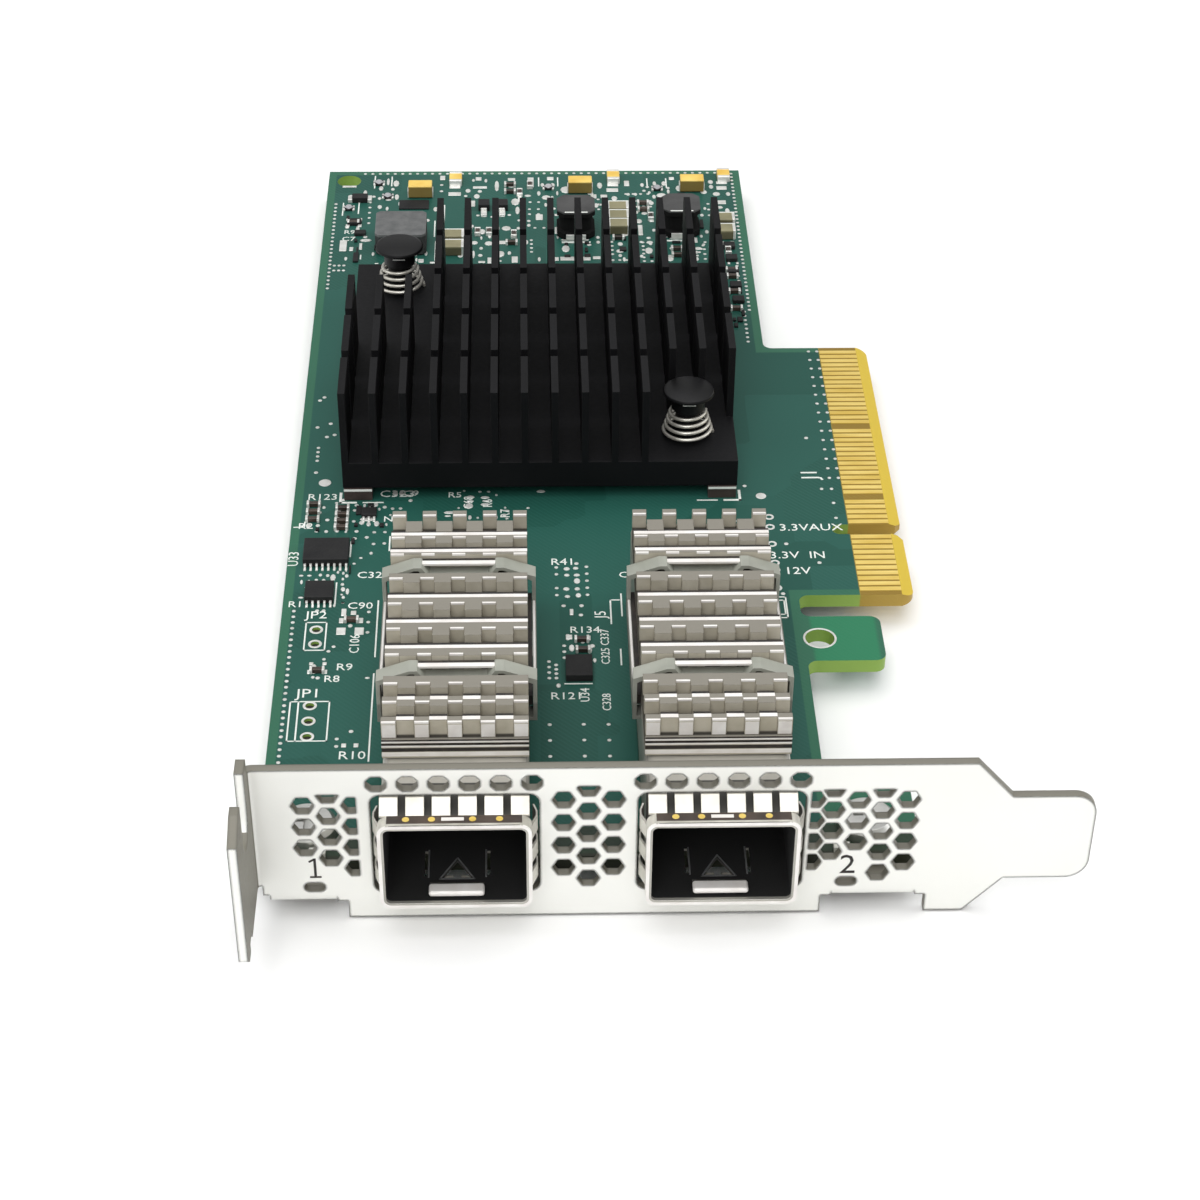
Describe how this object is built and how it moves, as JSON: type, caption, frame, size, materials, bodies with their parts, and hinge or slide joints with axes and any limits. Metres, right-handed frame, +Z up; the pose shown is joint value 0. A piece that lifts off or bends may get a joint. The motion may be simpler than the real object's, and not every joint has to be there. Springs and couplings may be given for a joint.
{
  "type": "network interface card",
  "caption": "Low-profile expansion card with caged pluggable optical ports, a black finned heat sink on sprung pins and a perforated bracket.",
  "frame": {"origin": "centre of the key notch, on the line of the gold fingers' tips, at the component face of the board", "axes": "+X out through the finger tips, towards the slot the card plugs into; +Y along the board, away from the bracket; +Z up from the component face"},
  "size_m": [0.0803, 0.1574, 0.0201],
  "materials": {
    "board": "satin solder mask",
    "gold": "plated contact surface",
    "bracket_steel": "bright zinc plate",
    "screw_steel": "bright plate",
    "led_body": "matt white",
    "black_aluminium": "black anodised",
    "chip_plastic": "matt moulding",
    "pad_rubber": "soft pad",
    "foam": "soft foam",
    "pin_plastic": "matt moulding",
    "spring_steel": "bright nickel plate",
    "tin": "tinned",
    "dark_ferrite": "matt sintered ferrite",
    "ferrite": "matt pressed powder",
    "tantalum": "matt moulding",
    "ceramic": "matt ceramic",
    "passive": "matt ceramic",
    "cage_steel": "nickel plate",
    "connector_plastic": "matt moulding",
    "pale_aluminium": "clear anodised"
  },
  "bodies": {
    "root": {"bracket": "bracket_steel", "bracket_screws": "screw_steel", "ceramic_capacitors": "ceramic", "circuit_board": "board", "controller_chip": "chip_plastic", "corner_pads": "foam", "drum_inductors": "dark_ferrite", "edge_capacitors": "tantalum", "emi_collar_1": "spring_steel", "emi_collar_2": "spring_steel", "fingers_component_side": "gold", "fingers_solder_side": "gold", "inductor_terminals": "tin", "logic_chip_leads": "tin", "logic_chips": "chip_plastic", "main_heat_sink": "black_aluminium", "pin_springs": "spring_steel", "port_cage_1": "cage_steel", "port_cage_2": "cage_steel", "port_clip_1": "cage_steel", "port_clip_2": "cage_steel", "port_connector_1": "connector_plastic", "port_connector_2": "connector_plastic", "port_contacts_1": "gold", "port_contacts_2": "gold", "port_heat_sink_1": "pale_aluminium", "port_heat_sink_2": "pale_aluminium", "power_inductor": "ferrite", "push_pins": "pin_plastic", "regulator_chip": "chip_plastic", "small_passives": "passive", "status_leds": "led_body", "tantalum_capacitors": "tantalum", "thermal_pad": "pad_rubber"}
  },
  "joints": []
}
